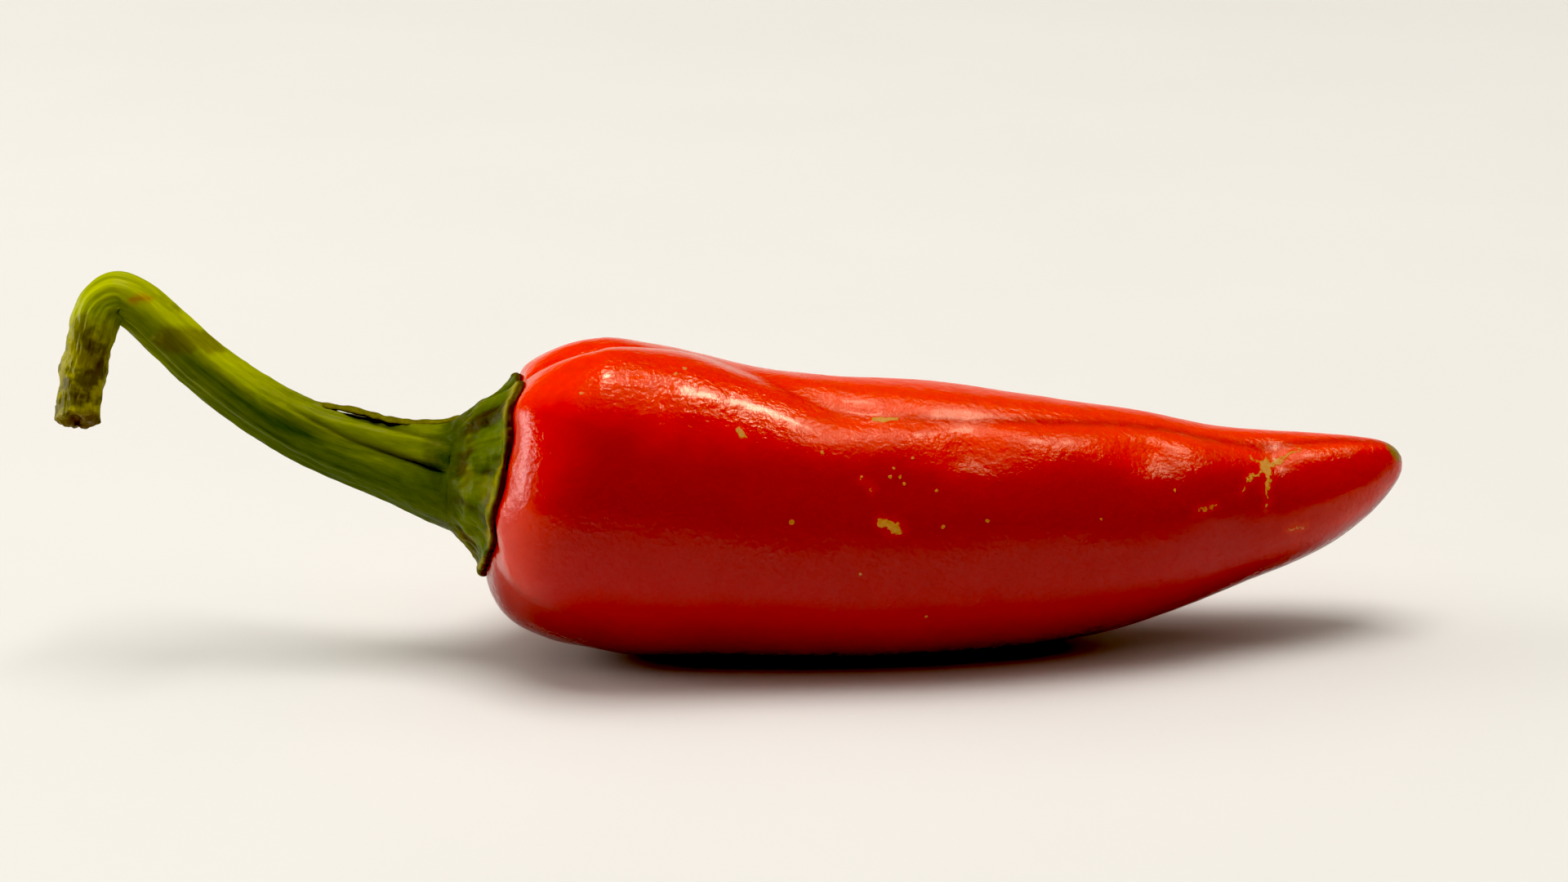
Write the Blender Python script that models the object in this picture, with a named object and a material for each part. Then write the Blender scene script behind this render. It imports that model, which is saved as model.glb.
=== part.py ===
"""A fresh red chilli pepper lying on its side, with its calyx and its bent stem.

Blender 4.5, metres, +Z up. X runs along the pepper from the stem to the fruit's tip, and the
pepper rests on Z = 0. The fruit is one solid, the calyx is a flared cap seated on its
shoulder, and the stem leaves the calyx, rises and buckles over at its free end.
"""

import math

import bmesh
import bpy
from mathutils import Vector

# Fruit
FRUIT_LENGTH = 0.0701
FRUIT_RADIUS = 0.0119
LOBE_SWELL = 0.00015  # how far each of the three lobes stands out of a round section
GROOVE_WIDTH = 0.0017  # half width of the grooves between the lobes
GROOVE_DEPTH = 0.0009  # of the deepest groove, at the shoulder
DENT_DEPTH = 0.0006  # of the deepest dent, near the tip
RESTING_FLAT_DEPTH = 0.0005  # how far the belly is pressed flat where it lies

# Calyx
CALYX_RADIUS = 0.00735
CALYX_DEPTH = 0.0037  # from its seat on the fruit to the stem
CALYX_RIM = 0.0006  # thickness of the rim
CALYX_SCALLOP = 0.00022  # height of the low teeth round the rim
CALYX_TEETH = 5
CALYX_TEETH_TURN = 0.8  # radians round from the side that faces -Y

# Stem
STEM_LENGTH = 0.0415
STEM_RADIUS = 0.00205
NECK_RADIUS = 0.00435  # where the stem leaves the calyx

JOINT_GAP = 0.0003  # between pieces that touch
SKIN_GAP = 0.0003  # between the calyx and the fruit's skin

FRUIT_SIDES, FRUIT_RINGS = 48, 52
CALYX_SIDES, CALYX_RINGS = 40, 12
STEM_SIDES, STEM_RINGS = 16, 44

# The fruit's outline from the pole under the calyx to the tip: share of length, share of radius
OUTLINE = [
    (0.010, 0.00), (0.0095, 0.25), (0.007, 0.48), (0.004, 0.60), (0.006, 0.68),
    (0.0135, 0.755), (0.023, 0.82), (0.036, 0.885), (0.055, 0.945), (0.086, 0.99),
    (0.130, 1.00), (0.170, 1.00), (0.257, 0.945), (0.348, 0.92), (0.438, 0.907),
    (0.529, 0.858), (0.618, 0.783), (0.710, 0.675), (0.800, 0.526), (0.890, 0.402),
    (0.942, 0.292), (0.9655, 0.222), (0.986, 0.142), (0.995, 0.080), (1.000, 0.00),
]  # fmt: skip

# The fruit's curved middle line: share of length, (sideways, rise) as shares of length. The
# first point lies outside the seat, at 0, and sets the direction there.
SPINE = [
    (-0.05, (-0.007, 0.0030)), (0.00, (-0.006, 0.000)), (0.08, (-0.003, -0.0195)),
    (0.17, (0.000, -0.0368)), (0.26, (0.003, -0.0498)), (0.35, (0.008, -0.0573)),
    (0.44, (0.015, -0.0612)), (0.53, (0.024, -0.0653)), (0.62, (0.036, -0.0680)),
    (0.71, (0.050, -0.0656)), (0.80, (0.067, -0.0610)), (0.89, (0.086, -0.0492)),
    (1.00, (0.106, -0.0190)),
]  # fmt: skip

# Grooves between the lobes: where each runs round the section in degrees, from the side
# that faces -Y up over the top, and its depth as a share of the deepest, along the fruit
GROOVES = [
    (
        [(0, 88), (0.12, 96), (0.19, 99), (0.31, 76), (0.4, 65), (0.59, 72), (0.71, 78), (0.84, 70), (1, 78)],
        [(0, 1.0), (0.05, 0.9), (0.12, 0.4), (0.2, 0.25), (0.5, 0.4), (0.84, 0.5), (0.95, 0.15), (1, 0)],
    ),
    (
        [(0, 206), (0.2, 198), (0.6, 204), (1, 200)],
        [(0, 1.0), (0.06, 0.85), (0.15, 0.4), (0.5, 0.35), (0.8, 0.3), (1, 0)],
    ),
    (
        [(0, 318), (0.3, 322), (1, 316)],
        [(0, 0.8), (0.05, 0.5), (0.12, 0.15), (0.5, 0.1), (1, 0)],
    ),
]
LOBE_CREST = 20  # degrees, the middle of the lobe that faces -Y

# Shallow dents: share of length, degrees round, share of the deepest, reach along and across
DENTS = [
    (0.455, 50, 0.6, 0.0024, 0.0022),
    (0.645, 48, 0.45, 0.0021, 0.0018),
    (0.835, 50, 1.0, 0.0015, 0.0016),
]

# The way from the middle of the calyx's seat to its neck
NECK_WAY = (-1, 0, -0.07)
# The stem's middle line from the neck to its free end, as shares of its length
STEM_PATH = [
    (-0.087, 0.004, 0.017), (-0.162, 0.008, 0.038), (-0.237, 0.014, 0.062),
    (-0.312, 0.020, 0.098), (-0.386, 0.029, 0.143), (-0.460, 0.036, 0.200),
    (-0.519, 0.043, 0.255), (-0.577, 0.047, 0.309), (-0.613, 0.042, 0.326),
    (-0.639, 0.026, 0.308), (-0.652, 0.000, 0.267), (-0.664, -0.031, 0.211),
    (-0.671, -0.063, 0.159), (-0.671, -0.088, 0.117),
]  # fmt: skip

# How the stem tapers: share of its length, share of its radius
STEM_TAPER = [
    (0, 1.22), (0.24, 1.18), (0.35, 1.1), (0.5, 1.0), (0.68, 0.95), (0.85, 0.83),
    (0.95, 0.82), (1, 0.92),
]  # fmt: skip
# How fast the flare at the calyx dies away along the stem
STEM_FLARE = [(0, 1.0), (0.026, 0.75), (0.089, 0.40), (0.168, 0.15), (0.25, 0.02), (0.35, 0)]
# The calyx's outer face above its rim: share of the height, share of the way in to the neck
CALYX_FLARE = [(0, 0), (0.1, 0.14), (0.3, 0.41), (0.57, 0.67), (0.87, 0.91), (1, 1)]

MOST_BEND = 0.5  # of a bend's radius that a section may fill on the inner side
SMALL_STEP = 0.0002  # along a middle line, to find its direction
BEND_STEP = 0.0008  # along the stem, to find how fast it turns


def blend(keys, at):
    """The smooth curve through (place, value) keys, read at a place."""
    places = [place for place, _ in keys]
    values = [value for _, value in keys]
    last = len(keys) - 1
    at = min(max(at, places[0]), places[last])
    i = max(k for k in range(last) if places[k] <= at)
    span = places[i + 1] - places[i]

    def slope(k):
        low, high = max(k - 1, 0), min(k + 1, last)
        return (values[high] - values[low]) * (span / (places[high] - places[low]))

    t = (at - places[i]) / span
    rise = t * t * (3 - 2 * t)
    ease_out, ease_in = t * (1 - t) ** 2, t * t * (t - 1)
    return values[i] * (1 - rise) + values[i + 1] * rise + slope(i) * ease_out + slope(i + 1) * ease_in


def by_distance(points):
    """Keys for blend() through points, placed by the distance run along them from 0."""
    keys = [(0.0, points[0])]
    for before, after in zip(points, points[1:]):
        keys.append((keys[-1][0] + (after - before).length, after))
    return keys


def section_axes(along):
    """Across a middle line, the section's -Y side and its upper side."""
    side = Vector((0, -1, 0))
    side = (side - along * side.dot(along)).normalized()
    return side, side.cross(along)


def frame_at(keys, at):
    """Point and direction at a place along a middle line, with the section's axes."""
    along = (blend(keys, at + SMALL_STEP) - blend(keys, at - SMALL_STEP)).normalized()
    return blend(keys, at), along, *section_axes(along)


def tube(name, sides, rings, place):
    """A closed tube of rings; place(share of the way along, angle or None at a pole) puts each vertex."""
    shell = bmesh.new()
    bmesh.ops.create_cone(
        shell, cap_ends=True, cap_tris=True, segments=sides, radius1=1, radius2=1, depth=1
    )
    lengthwise = [e for e in shell.edges if abs(e.verts[0].co.z - e.verts[1].co.z) > 0.5]
    bmesh.ops.subdivide_edges(shell, edges=lengthwise, cuts=rings - 2)
    for vert in shell.verts:
        share = vert.co.z + 0.5
        at_pole = vert.co.xy.length < 0.5
        vert.co = place(share, None if at_pole else math.atan2(vert.co.y, vert.co.x))
    if shell.calc_volume(signed=True) < 0:
        bmesh.ops.reverse_faces(shell, faces=shell.faces)
    mesh = bpy.data.meshes.new(name)
    shell.to_mesh(mesh)
    shell.free()
    return bpy.data.objects.new(name, mesh)


def spine_keys():
    """The fruit's middle line, from its calyx end at the origin."""
    return [
        (share * FRUIT_LENGTH, Vector((share, sideways, rise)) * FRUIT_LENGTH)
        for share, (sideways, rise) in SPINE
    ]


def outline_keys():
    """The fruit's outline as points (distance along, radius), placed by distance run."""
    return by_distance([Vector((share * FRUIT_LENGTH, out * FRUIT_RADIUS)) for share, out in OUTLINE])


def section_radius(share, radius, angle):
    """The fruit's radius with its lobes, grooves and dents, at an angle round the section."""
    fullness = min(radius / FRUIT_RADIUS, 1)
    swell = LOBE_SWELL * fullness * math.cos(3 * (angle - math.radians(LOBE_CREST)))
    sunk = 0
    for angles, depths in GROOVES:
        away = math.remainder(angle - math.radians(blend(angles, share)), math.tau) * radius
        sunk += GROOVE_DEPTH * blend(depths, share) * fullness * math.exp(-((away / GROOVE_WIDTH) ** 2))
    for where, degrees, depth, reach_along, reach_across in DENTS:
        across = math.remainder(angle - math.radians(degrees), math.tau) * radius / reach_across
        along = (share - where) * FRUIT_LENGTH / reach_along
        sunk += DENT_DEPTH * depth * math.exp(-(along**2) - across**2)
    return radius + swell - sunk


def fruit_object(name):
    spine, outline = spine_keys(), outline_keys()
    run = outline[-1][0]

    def place(share, angle):
        if angle is not None:
            share = (share * (FRUIT_RINGS - 1) + 1) / (FRUIT_RINGS + 1)
        distance, radius = blend(outline, share * run)
        centre, _, side, up = frame_at(spine, distance)
        if angle is None:
            return centre
        radius = section_radius(distance / FRUIT_LENGTH, radius, angle)
        return centre + (side * math.cos(angle) + up * math.sin(angle)) * radius

    return tube(name, FRUIT_SIDES, FRUIT_RINGS, place)


def stalk():
    """The seat's middle, the direction into the fruit there, and the stem's middle line."""
    seat, into, _, _ = frame_at(spine_keys(), 0)
    neck = seat + Vector(NECK_WAY).normalized() * CALYX_DEPTH
    points = [seat, neck] + [neck + Vector(step) * STEM_LENGTH for step in STEM_PATH]
    return seat, into, by_distance(points)


def stalk_frame(keys, distance):
    """As frame_at(), but facing the fruit."""
    point, outwards, _, _ = frame_at(keys, distance)
    return point, -outwards, *section_axes(-outwards)


def calyx_object():
    seat, into, keys = stalk()
    neck, neck_along, _, _ = stalk_frame(keys, CALYX_DEPTH)
    inside = CALYX_DEPTH / 2  # how far the uncut plug reaches into the fruit

    def place(share, angle):
        height = CALYX_DEPTH - share * (CALYX_DEPTH + inside)
        way_out = max(height, 0) / CALYX_DEPTH
        centre = seat.lerp(neck, way_out) + into * max(-height, 0)
        if angle is None:
            return centre
        side, up = section_axes(into.lerp(neck_along, way_out).normalized())
        way_in = blend(CALYX_FLARE, (height - CALYX_RIM) / (CALYX_DEPTH - CALYX_RIM))
        radius = CALYX_RADIUS + (NECK_RADIUS - CALYX_RADIUS) * way_in
        radius += CALYX_SCALLOP * (1 - way_in) * math.cos(CALYX_TEETH * angle + CALYX_TEETH_TURN)
        return centre + (side * math.cos(angle) + up * math.sin(angle)) * radius

    calyx = tube("calyx", CALYX_SIDES, CALYX_RINGS, place)
    cut_by_fruit(calyx)
    return calyx


def cut_by_fruit(calyx):
    """Hollows the calyx to the fruit's shoulder, a skin gap clear of it."""
    cutter = fruit_object("fruit_clearance")
    normals = [vert.normal.copy() for vert in cutter.data.vertices]
    for vert, normal in zip(cutter.data.vertices, normals):
        vert.co += normal * SKIN_GAP
    cutter.hide_render = True
    cutter.display_type = "WIRE"
    bpy.context.scene.collection.objects.link(cutter)
    cut = calyx.modifiers.new("seat_on_fruit", "BOOLEAN")
    cut.operation = "DIFFERENCE"
    cut.solver = "EXACT"
    cut.object = cutter
    cutter.parent = calyx


def stem_object():
    _, _, keys = stalk()
    start, end = CALYX_DEPTH + JOINT_GAP, keys[-1][0]

    def place(share, angle):
        distance = start + share * (end - start)
        centre, _, side, up = stalk_frame(keys, distance)
        if angle is None:
            return centre
        out = side * math.cos(angle) + up * math.sin(angle)
        body = STEM_RADIUS * blend(STEM_TAPER, share)
        radius = body + (NECK_RADIUS - STEM_RADIUS * STEM_TAPER[0][1]) * blend(STEM_FLARE, share)
        low, high = max(distance - BEND_STEP, start), min(distance + BEND_STEP, end)
        turn = (stalk_frame(keys, low)[1] - stalk_frame(keys, high)[1]) / (high - low)
        inwards = out.dot(turn)
        if inwards * radius > MOST_BEND:
            radius = MOST_BEND / inwards
        return centre + out * radius

    return tube("stem", STEM_SIDES, STEM_RINGS, place)


def material(name, colour, roughness):
    made = bpy.data.materials.new(name)
    made.use_nodes = True
    shader = made.node_tree.nodes["Principled BSDF"]
    shader.inputs["Base Color"].default_value = (*colour, 1)
    shader.inputs["Roughness"].default_value = roughness
    shader.inputs["Metallic"].default_value = 0
    return made


def press_flat(fruit):
    """Flattens the belly where it lies, and returns the height of that flat."""
    table = min(vert.co.z for vert in fruit.data.vertices) + RESTING_FLAT_DEPTH
    for vert in fruit.data.vertices:
        vert.co.z = max(vert.co.z, table)
    return table


def main():
    for old in list(bpy.data.objects):
        bpy.data.objects.remove(old)
    fruit, calyx, stem = fruit_object("fruit"), calyx_object(), stem_object()
    table = press_flat(fruit)
    finishes = {
        fruit: material("red_skin", (0.52, 0.008, 0.002), 0.28),
        calyx: material("green_calyx", (0.075, 0.11, 0.008), 0.6),
        stem: material("green_stem", (0.085, 0.13, 0.006), 0.55),
    }
    # The pepper's frame: the middle of its box, on the surface it lies on
    corners = [vert.co for piece in (fruit, stem) for vert in piece.data.vertices]
    middle = [(min(c[i] for c in corners) + max(c[i] for c in corners)) / 2 for i in (0, 1)]
    pepper = bpy.data.objects.new("chilli_pepper", None)
    pepper.location = (-middle[0], -middle[1], -table)
    bpy.context.scene.collection.objects.link(pepper)
    for piece, finish in finishes.items():
        piece.parent = pepper
        piece.data.materials.append(finish)
        piece.data.shade_smooth()
        bpy.context.scene.collection.objects.link(piece)


main()
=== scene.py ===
import math

import bmesh
import bpy
import numpy as np
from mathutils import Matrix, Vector, noise
from mathutils.bvhtree import BVHTree


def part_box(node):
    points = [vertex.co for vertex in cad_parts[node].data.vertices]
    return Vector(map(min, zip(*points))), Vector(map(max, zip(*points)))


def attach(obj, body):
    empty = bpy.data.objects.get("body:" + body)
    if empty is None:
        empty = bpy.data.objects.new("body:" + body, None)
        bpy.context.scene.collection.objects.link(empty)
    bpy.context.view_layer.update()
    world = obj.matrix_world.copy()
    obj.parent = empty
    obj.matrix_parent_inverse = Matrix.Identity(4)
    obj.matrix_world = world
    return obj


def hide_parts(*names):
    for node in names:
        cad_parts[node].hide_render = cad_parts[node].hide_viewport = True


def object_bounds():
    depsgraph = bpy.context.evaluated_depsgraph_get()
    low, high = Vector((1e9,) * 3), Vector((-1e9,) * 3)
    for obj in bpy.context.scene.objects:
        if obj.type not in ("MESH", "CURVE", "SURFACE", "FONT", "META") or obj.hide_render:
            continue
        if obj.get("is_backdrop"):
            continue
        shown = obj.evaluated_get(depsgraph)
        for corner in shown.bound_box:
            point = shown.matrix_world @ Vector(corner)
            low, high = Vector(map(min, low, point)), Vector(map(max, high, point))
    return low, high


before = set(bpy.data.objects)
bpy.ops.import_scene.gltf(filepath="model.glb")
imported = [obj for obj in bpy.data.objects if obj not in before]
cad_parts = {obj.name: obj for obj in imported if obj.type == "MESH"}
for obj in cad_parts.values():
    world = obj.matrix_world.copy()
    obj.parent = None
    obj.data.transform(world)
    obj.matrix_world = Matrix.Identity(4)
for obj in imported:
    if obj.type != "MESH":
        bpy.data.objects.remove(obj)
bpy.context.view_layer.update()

# Fruit: a ripe chilli, a hollow fleshy berry of three lobes with a waxy red skin. It swells at
# the shoulder under the calyx, narrows to a slightly turned-up tip, and lies on its belly. Small
# corky scars and pale flecks mark the skin where it was rubbed as it grew.

FRUIT_LENGTH = 0.0701
FRUIT_RADIUS = 0.0119
FRUIT_SIDES, FRUIT_RINGS = 300, 320
RESTING_FLAT_DEPTH = 0.0005
SMALL_STEP = 0.0002  # along a middle line, to find its direction

# From the pole under the calyx to the tip: share of the length, share of the radius
OUTLINE = [
    (0.010, 0.00), (0.0095, 0.25), (0.007, 0.48), (0.004, 0.60), (0.006, 0.68),
    (0.0135, 0.755), (0.023, 0.82), (0.036, 0.885), (0.055, 0.945), (0.086, 0.99),
    (0.130, 1.00), (0.170, 1.00), (0.257, 0.945), (0.348, 0.92), (0.438, 0.907),
    (0.529, 0.858), (0.618, 0.783), (0.710, 0.675), (0.800, 0.526), (0.890, 0.402),
    (0.942, 0.292), (0.9655, 0.222), (0.986, 0.142), (0.995, 0.080), (1.000, 0.00),
]  # fmt: skip

# The curved middle line: share of the length, (sideways, rise) as shares of the length
SPINE = [
    (-0.05, (-0.007, 0.0030)), (0.00, (-0.006, 0.000)), (0.08, (-0.003, -0.0195)),
    (0.17, (0.000, -0.0368)), (0.26, (0.003, -0.0498)), (0.35, (0.008, -0.0573)),
    (0.44, (0.015, -0.0612)), (0.53, (0.024, -0.0653)), (0.62, (0.036, -0.0680)),
    (0.71, (0.050, -0.0656)), (0.80, (0.067, -0.0610)), (0.89, (0.086, -0.0492)),
    (1.00, (0.106, -0.0165)),
]  # fmt: skip


def blend(keys, at):
    """The smooth curve through (place, value) keys, read at an array of places."""
    places = np.array([place for place, _ in keys], float)
    values = np.array([value for _, value in keys], float)
    at = np.clip(at, places[0], places[-1])
    i = np.clip(np.searchsorted(places, at, side="right") - 1, 0, len(places) - 2)
    low = np.maximum(np.arange(len(places)) - 1, 0)
    high = np.minimum(np.arange(len(places)) + 1, len(places) - 1)
    gaps = (places[high] - places[low]).reshape(-1, *[1] * (values.ndim - 1))
    slopes = (values[high] - values[low]) / gaps
    span = places[i + 1] - places[i]
    t = (at - places[i]) / span
    if values.ndim > 1:
        t, span = t[..., None], span[..., None]
    rise = t * t * (3 - 2 * t)
    ease_out, ease_in = t * (1 - t) ** 2 * span, t * t * (t - 1) * span
    return values[i] * (1 - rise) + values[i + 1] * rise + slopes[i] * ease_out + slopes[i + 1] * ease_in


def by_distance(points):
    """Keys for blend() through points, placed by the distance run along them from 0."""
    points = np.array(points, float)
    steps = np.linalg.norm(np.diff(points, axis=0), axis=1)
    return list(zip(np.concatenate([[0], np.cumsum(steps)]), points))


def unit(vectors):
    return vectors / np.linalg.norm(vectors, axis=-1, keepdims=True)


def dot(a, b):
    return (a * b).sum(-1, keepdims=True)


def section_axes(along):
    """Across a middle line, the section's -Y side and its upper side."""
    towards = np.array((0.0, -1.0, 0.0))
    side = unit(towards - along * dot(along, towards))
    return side, np.cross(side, along)


def frame_along(keys, at):
    """Points and directions at places along a middle line."""
    return blend(keys, at), unit(blend(keys, at + SMALL_STEP) - blend(keys, at - SMALL_STEP))


def turned(angle):
    """An angle's cosine and sine as columns."""
    return np.cos(angle)[:, None], np.sin(angle)[:, None]


def wrapped(angle):
    """The same angle between half a turn back and half a turn on."""
    return (angle + math.pi) % math.tau - math.pi


def hump(offset):
    return np.exp(-(offset**2))


def closed_tube(sides, rings):
    """A closed unit tube, with each vertex's share of the way along it, angle, and if it is a pole."""
    shell = bmesh.new()
    bmesh.ops.create_cone(
        shell, cap_ends=True, cap_tris=True, segments=sides, radius1=1, radius2=1, depth=1
    )
    lengthwise = [e for e in shell.edges if abs(e.verts[0].co.z - e.verts[1].co.z) > 0.5]
    bmesh.ops.subdivide_edges(shell, edges=lengthwise, cuts=rings - 2)
    at = np.array([vert.co for vert in shell.verts])
    return shell, at[:, 2] + 0.5, np.arctan2(at[:, 1], at[:, 0]), np.hypot(at[:, 0], at[:, 1]) < 0.5


def move_to(shell, points):
    """Puts the vertices at points, with the faces outward, and returns the normals."""
    for vert, point in zip(shell.verts, points):
        vert.co = point
    if shell.calc_volume(signed=True) < 0:
        bmesh.ops.reverse_faces(shell, faces=shell.faces)
    shell.normal_update()
    return np.array([vert.normal for vert in shell.verts])


def cloud(points, size, seed, depth=3):
    """Even noise from -1 to 1 over points, with features about size across."""
    shift = Vector((seed, -seed, seed * 0.5))
    return np.array([noise.fractal(Vector(p) / size + shift, 1.0, 2.0, depth) for p in points])


def piece_object(name, shell):
    """The finished piece as an object, smooth all over."""
    mesh = bpy.data.meshes.new(name)
    shell.to_mesh(mesh)
    shell.free()
    mesh.shade_smooth()
    made = bpy.data.objects.new(name, mesh)
    bpy.context.scene.collection.objects.link(made)
    return made


fruit_spine = [
    (share * FRUIT_LENGTH, np.array((share, *place)) * FRUIT_LENGTH) for share, place in SPINE
]
fruit_outline = by_distance([(share * FRUIT_LENGTH, out * FRUIT_RADIUS) for share, out in OUTLINE])

LOBES = 3
LOBE_SWELL = 0.00015
LOBE_CREST = 20  # degrees round from the side that faces -Y, up over the top
GROOVE_DEPTH = 0.0009
GROOVE_WIDTH = 0.0017
CREASE_WIDTH = 0.0004  # of the sharp line at the bottom of a groove
# Each groove between lobes: its way round in degrees, the depth of its valley, and of the
# crease at the bottom, as shares of the deepest, along the fruit
GROOVES = [
    (
        [
            (0, 88), (0.12, 96), (0.19, 99), (0.31, 76), (0.4, 65),
            (0.59, 72), (0.71, 78), (0.84, 70), (1, 78),
        ],
        [
            (0, 1.0), (0.05, 0.9), (0.12, 0.4), (0.2, 0.25),
            (0.5, 0.4), (0.84, 0.5), (0.95, 0.15), (1, 0),
        ],
        [(0, 0.35), (0.08, 0.25), (0.16, 0.05), (0.4, 0.02), (0.7, 0.03), (0.9, 0.02), (1, 0)],
    ),
    (
        [(0, 206), (0.2, 198), (0.6, 204), (1, 200)],
        [(0, 1.0), (0.06, 0.85), (0.15, 0.4), (0.5, 0.35), (0.8, 0.3), (1, 0)],
        [(0, 0.3), (0.1, 0.15), (0.5, 0.05), (1, 0)],
    ),
    (
        [(0, 318), (0.3, 322), (1, 316)],
        [(0, 0.8), (0.05, 0.5), (0.12, 0.15), (0.5, 0.1), (1, 0)],
        [(0, 0.2), (0.1, 0.05), (1, 0)],
    ),
]  # fmt: skip
DENT_DEPTH = 0.0006
# Shallow dents, and swells where the depth is below 0: share of the fruit's length, degrees
# round, depth as a share of DENT_DEPTH, reach along and across
DENTS = [
    (0.345, 66, 0.7, 0.0040, 0.0030),
    (0.495, 48, 1.15, 0.0032, 0.0028),
    (0.695, 51, 1.05, 0.0028, 0.0024),
    (0.842, 52, 0.9, 0.0020, 0.0018),
    (0.550, 22, -0.5, 0.0045, 0.0030),
    (0.745, 24, -0.4, 0.0035, 0.0024),
    (0.160, 76, -0.5, 0.0120, 0.0045),
]


def fruit_relief(distance, radius, angle):
    """How far the lobes, grooves and dents stand out of the round section."""
    share = distance / FRUIT_LENGTH
    fullness = np.minimum(radius / FRUIT_RADIUS, 1)
    height = LOBE_SWELL * fullness * np.cos(LOBES * (angle - math.radians(LOBE_CREST)))
    for way, valley, crease in GROOVES:
        away = wrapped(angle - np.radians(blend(way, share))) * radius
        depth = blend(valley, share) * hump(away / GROOVE_WIDTH)
        depth += blend(crease, share) * hump(away / CREASE_WIDTH)
        height -= GROOVE_DEPTH * fullness * depth
    for where, degrees, depth, reach_along, reach_across in DENTS:
        across = wrapped(angle - math.radians(degrees)) * radius / reach_across
        height -= DENT_DEPTH * depth * hump((share - where) * FRUIT_LENGTH / reach_along) * hump(across)
    return height


def on_fruit(distance, radius, angle):
    """Points on the skin, from the distance along, the section's radius and the angle round it."""
    centre, along = frame_along(fruit_spine, distance)
    side, up = section_axes(along)
    cos, sin = turned(angle)
    return centre + (side * cos + up * sin) * (radius + fruit_relief(distance, radius, angle))[:, None]


fruit_shell, share, angle, at_pole = closed_tube(FRUIT_SIDES, FRUIT_RINGS)
skin_run = fruit_outline[-1][0]  # over the skin, from the pole to the tip
ring = np.where(at_pole, share, (share * (FRUIT_RINGS - 1) + 1) / (FRUIT_RINGS + 1)) * skin_run
distance, radius = blend(fruit_outline, ring).T
points = on_fruit(distance, radius, angle)
normals = move_to(fruit_shell, points)
# For the material: the angle round as a unit vector, and the distance along
skin_place = np.stack([np.cos(angle), np.sin(angle), distance], 1)
crease_away = wrapped(angle - np.radians(blend(GROOVES[0][0], distance / FRUIT_LENGTH))) * radius

# The skin is drawn into puckers round the calyx, and is nowhere quite even
PUCKER_HEIGHT = 0.00016
PUCKER_REACH = 0.0022
PUCKERS = [(6, 0.7, 1.0), (11, 2.1, 0.6)]  # number round, turn, share of the height
SHOULDER_RUN = 0.0073  # from the pole to the crest of the shoulder
TIP_RUN = 0.004  # over which the unevenness fades to the tip
UNDULATION, UNDULATION_SIZE = 0.00011, 0.009
RIPPLE, RIPPLE_SIZE = 0.000018, 0.0017
pucker = sum(height * np.cos(number * angle + turn) for number, turn, height in PUCKERS)
fine = PUCKER_HEIGHT * pucker * hump((ring - SHOULDER_RUN) / PUCKER_REACH)
off_ends = np.clip((ring - SHOULDER_RUN) / PUCKER_REACH, 0, 1)
off_ends *= np.clip((skin_run - ring) / TIP_RUN, 0, 1)
fine += off_ends * UNDULATION * cloud(points, UNDULATION_SIZE, 3, 2)
fine += off_ends * RIPPLE * cloud(points, RIPPLE_SIZE, 11, 2)
points = points + normals * fine[:, None]

# The fruit goes where its CAD box is, with its belly pressed flat on the table
low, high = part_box("fruit")
seat_place = np.array((low + high) / 2) - (points.min(0) + points.max(0)) / 2
seat_place[2] = -points[:, 2].min() - RESTING_FLAT_DEPTH
points = points + seat_place
points[:, 2] = np.maximum(points[:, 2], 0)
move_to(fruit_shell, points)
fruit_skin_tree = BVHTree.FromBMesh(fruit_shell)
fruit = piece_object("fruit_skin", fruit_shell)


def keep_on(piece, name, kind, values):
    """Keeps a value or a vector for each vertex on the piece, for its material to read."""
    kept = piece.data.attributes.new(name, kind, "POINT")
    kept.data.foreach_set("vector" if kind == "FLOAT_VECTOR" else "value", np.ravel(values))


GROOVE_SHADE_HALF_WIDTH = 0.0006  # half the width of the painted shade, a darker line along the first groove
GROOVE_SHADE_OFFSET = 0.0001  # how far it lies below the groove's middle
keep_on(fruit, "skin_place", "FLOAT_VECTOR", skin_place)
keep_on(fruit, "painted_groove_shade", "FLOAT", hump((crease_away + GROOVE_SHADE_OFFSET) / GROOVE_SHADE_HALF_WIDTH))


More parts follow.
